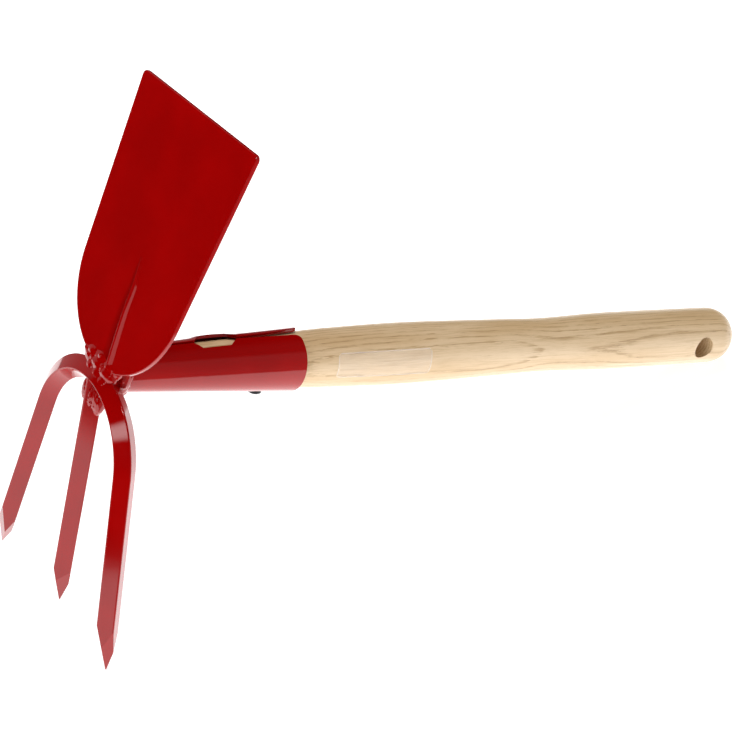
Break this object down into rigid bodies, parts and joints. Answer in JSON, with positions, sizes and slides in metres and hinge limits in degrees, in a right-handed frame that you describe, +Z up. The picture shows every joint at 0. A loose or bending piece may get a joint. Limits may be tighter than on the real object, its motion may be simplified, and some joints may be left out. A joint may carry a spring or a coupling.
{
  "type": "hand hoe",
  "caption": "Short hand hoe with a flat tombstone-shaped blade on one side of its socket, three pointed tines on the other, and a turned wooden handle with a hang hole.",
  "frame": {"origin": "centre of the bounding box's base: the ground below the middle of the tool as it stands on its two outer tine tips and the underside of its grip", "axes": "+Z up, +X from the head towards the grip's end, +Y across the tool"},
  "size_m": [0.4189, 0.1125, 0.2342],
  "materials": {
    "red_enamel": "thick glossy red enamel over steel",
    "ash_wood": "fine sanded ash, clear satin finish",
    "black_screw": "black oxide steel, slightly glossy"
  },
  "bodies": {
    "root": {"handle": "ash_wood", "socket": "red_enamel", "hoe_blade": "red_enamel", "blade_rib": "red_enamel", "outer_tine_bar": "red_enamel", "centre_tine": "red_enamel", "front_weld": "red_enamel", "tine_weld": "red_enamel", "socket_weld": "red_enamel", "socket_screw": "black_screw"}
  },
  "joints": []
}
